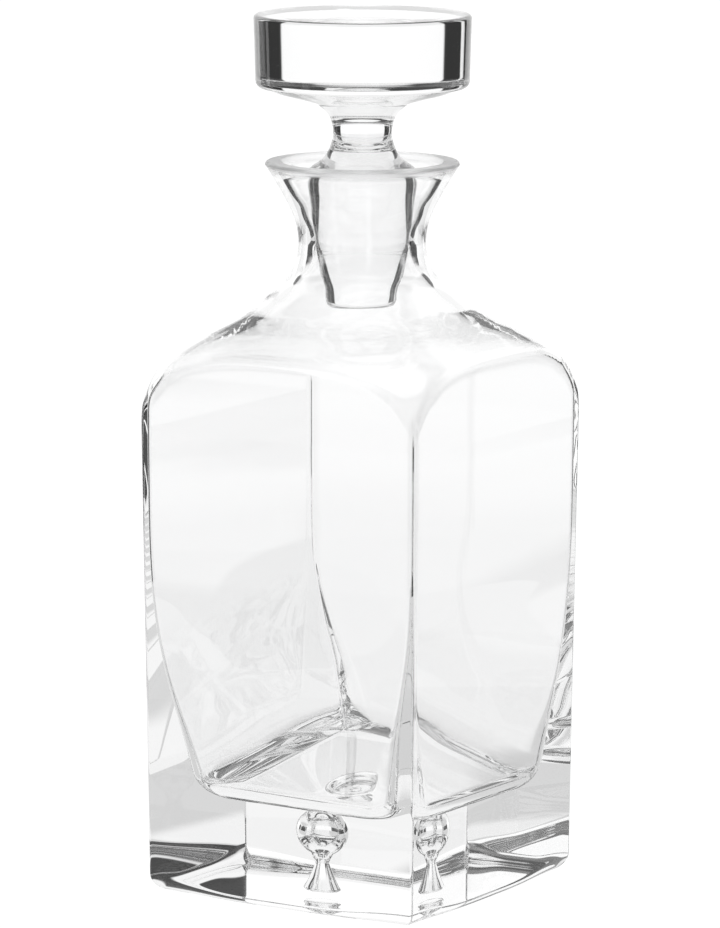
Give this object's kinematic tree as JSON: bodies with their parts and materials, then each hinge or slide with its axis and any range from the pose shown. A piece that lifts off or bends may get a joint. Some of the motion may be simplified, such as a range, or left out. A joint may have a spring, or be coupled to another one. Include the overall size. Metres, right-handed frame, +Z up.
{
  "type": "square glass decanter with stopper",
  "caption": "Square clear-glass spirit decanter with arched shoulders, pinched neck, thick base holding a pin-shaped air bubble, and a lift-out solid glass stopper with a disc knob.",
  "frame": {"origin": "middle of the flat underside of the base", "axes": "+Z up along the neck and stopper axis; the side faces look along +X, -X, +Y and -Y"},
  "size_m": [0.0866, 0.0866, 0.2387],
  "materials": {
    "vessel_glass": "fire-polished clear crystal, satin-ground rim on the lip",
    "stopper_glass": "polished clear crystal, fine-ground where the plug seats"
  },
  "bodies": {
    "vessel": {"decanter_vessel": "vessel_glass"},
    "stopper": {"stopper": "stopper_glass"}
  },
  "joints": [
    {"name": "stopper_lift", "type": "slide", "parent": "vessel", "child": "stopper", "axis": [0, 0, 1], "range_m": [0, 0.06]}
  ]
}
